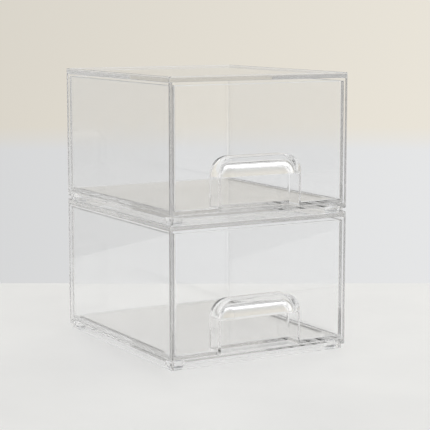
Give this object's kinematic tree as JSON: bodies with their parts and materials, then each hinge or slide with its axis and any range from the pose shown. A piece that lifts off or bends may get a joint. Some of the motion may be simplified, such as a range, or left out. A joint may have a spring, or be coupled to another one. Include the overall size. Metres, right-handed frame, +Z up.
{
  "type": "stacked storage drawer set",
  "caption": "Stack of clear open-front storage cases, each holding one sliding clear drawer with an arched, hooded finger pull in its front.",
  "frame": {"origin": "middle of the footprint, on the surface that the pads stand on", "axes": "+Z up, -Y the way the drawer fronts face and the drawers slide out, +X to the right of a viewer who faces the fronts"},
  "size_m": [0.165, 0.1906, 0.2298],
  "materials": {
    "clear_case": "polished clear moulding",
    "clear_drawer": "polished clear moulding",
    "clear_pad": "soft translucent non-slip pad"
  },
  "bodies": {
    "lower_unit": {"lower_case": "clear_case", "lower_pad_front_left": "clear_pad", "lower_pad_front_right": "clear_pad", "lower_pad_back_left": "clear_pad", "lower_pad_back_right": "clear_pad"},
    "lower_tray": {"lower_drawer": "clear_drawer"},
    "upper_unit": {"upper_case": "clear_case", "upper_pad_front_left": "clear_pad", "upper_pad_front_right": "clear_pad", "upper_pad_back_left": "clear_pad", "upper_pad_back_right": "clear_pad"},
    "upper_tray": {"upper_drawer": "clear_drawer"}
  },
  "joints": [
    {"name": "lower_drawer_slide", "type": "slide", "parent": "lower_unit", "child": "lower_tray", "axis": [0, -1, 0], "range_m": [0, 0.15]},
    {"name": "upper_lift", "type": "slide", "parent": "lower_unit", "child": "upper_unit", "axis": [0, 0, 1], "range_m": [0, 0.06]},
    {"name": "upper_drawer_slide", "type": "slide", "parent": "upper_unit", "child": "upper_tray", "axis": [0, -1, 0], "range_m": [0, 0.15]}
  ]
}
